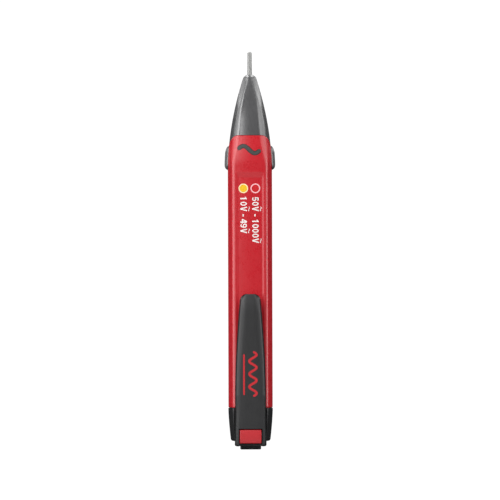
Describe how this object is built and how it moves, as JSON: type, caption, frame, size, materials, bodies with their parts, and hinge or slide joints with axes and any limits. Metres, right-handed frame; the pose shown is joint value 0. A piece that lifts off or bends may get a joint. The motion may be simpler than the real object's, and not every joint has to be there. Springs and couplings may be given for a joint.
{
  "type": "non contact voltage tester",
  "caption": "Pen-shaped voltage tester with a thin probe, translucent nose, two-shell casing, push key and a pull-off tail cap with a pocket clip and latch.",
  "frame": {"origin": "on the long axis, on the flat bottom of the tail tab", "axes": "+Z from the tail to the probe tip, -Y out of the clip side, +Y out of the button side, X across the casing"},
  "size_m": [0.0202, 0.0262, 0.1603],
  "materials": {
    "red_casing": "fine moulded texture, satin",
    "smoke_lens": "smooth translucent smoke grey",
    "light_grey_probe": "smooth satin",
    "black_plastic": "fine moulded texture",
    "latch_red": "satin",
    "black_rubber": "matt",
    "circuit_green": "solder mask over glass fibre",
    "component_black": "moulded epoxy",
    "lamp_red": "clear tinted",
    "lamp_yellow": "clear tinted",
    "lamp_green": "clear tinted",
    "lamp_white": "clear",
    "copper_wire": "drawn",
    "nickel_strip": "nickel plated",
    "spring_steel": "drawn wire",
    "component_metal": "drawn can",
    "cell_jacket": "printed sleeve"
  },
  "bodies": {
    "housing": {"rear_shell": "red_casing", "front_shell": "red_casing", "nose_lens": "smoke_lens", "probe_tip": "light_grey_probe", "sensor_antenna": "copper_wire", "led_board": "circuit_green", "led_red": "lamp_red", "led_yellow": "lamp_yellow", "led_green": "lamp_green", "work_light_led": "lamp_white", "circuit_board": "circuit_green", "power_switch": "component_black", "buzzer": "component_black", "controller_chip": "component_black", "crystal": "component_metal", "capacitor": "component_metal", "resistor_1": "component_black", "resistor_2": "component_black", "resistor_3": "component_black", "board_screw_1": "spring_steel", "board_screw_2": "spring_steel", "chassis": "black_plastic", "battery_1": "cell_jacket", "battery_2": "cell_jacket", "positive_contact": "nickel_strip", "return_contact": "nickel_strip"},
    "power_button": {"power_button": "black_rubber", "switch_plunger": "component_black"},
    "cap": {"end_cap": "black_plastic", "cap_gasket": "black_rubber", "cap_contact": "nickel_strip", "cell_spring": "spring_steel", "clip_base": "black_plastic", "latch_spring": "spring_steel"},
    "latch": {"latch_button": "latch_red"},
    "clip": {"clip_arm": "black_plastic"}
  },
  "joints": [
    {"name": "power_button_press", "type": "slide", "parent": "housing", "child": "power_button", "axis": [0, -1, 0], "range_m": [0, 0.0006], "stiffness_N_per_m": 400, "springref_m": -0.004},
    {"name": "cap_pull", "type": "slide", "parent": "housing", "child": "cap", "axis": [0, 0, -1], "range_m": [0, 0.03]},
    {"name": "latch_press", "type": "slide", "parent": "cap", "child": "latch", "axis": [0, 1, 0], "range_m": [0, 0.0012], "stiffness_N_per_m": 600, "springref_m": -0.003},
    {"name": "clip_flex", "type": "hinge", "parent": "cap", "child": "clip", "pos_m": [0, -0.0138, 0.01915], "axis": [1, 0, 0], "range_deg": [0, 5], "stiffness_Nm_per_rad": 1.5, "springref_deg": -2.86}
  ]
}
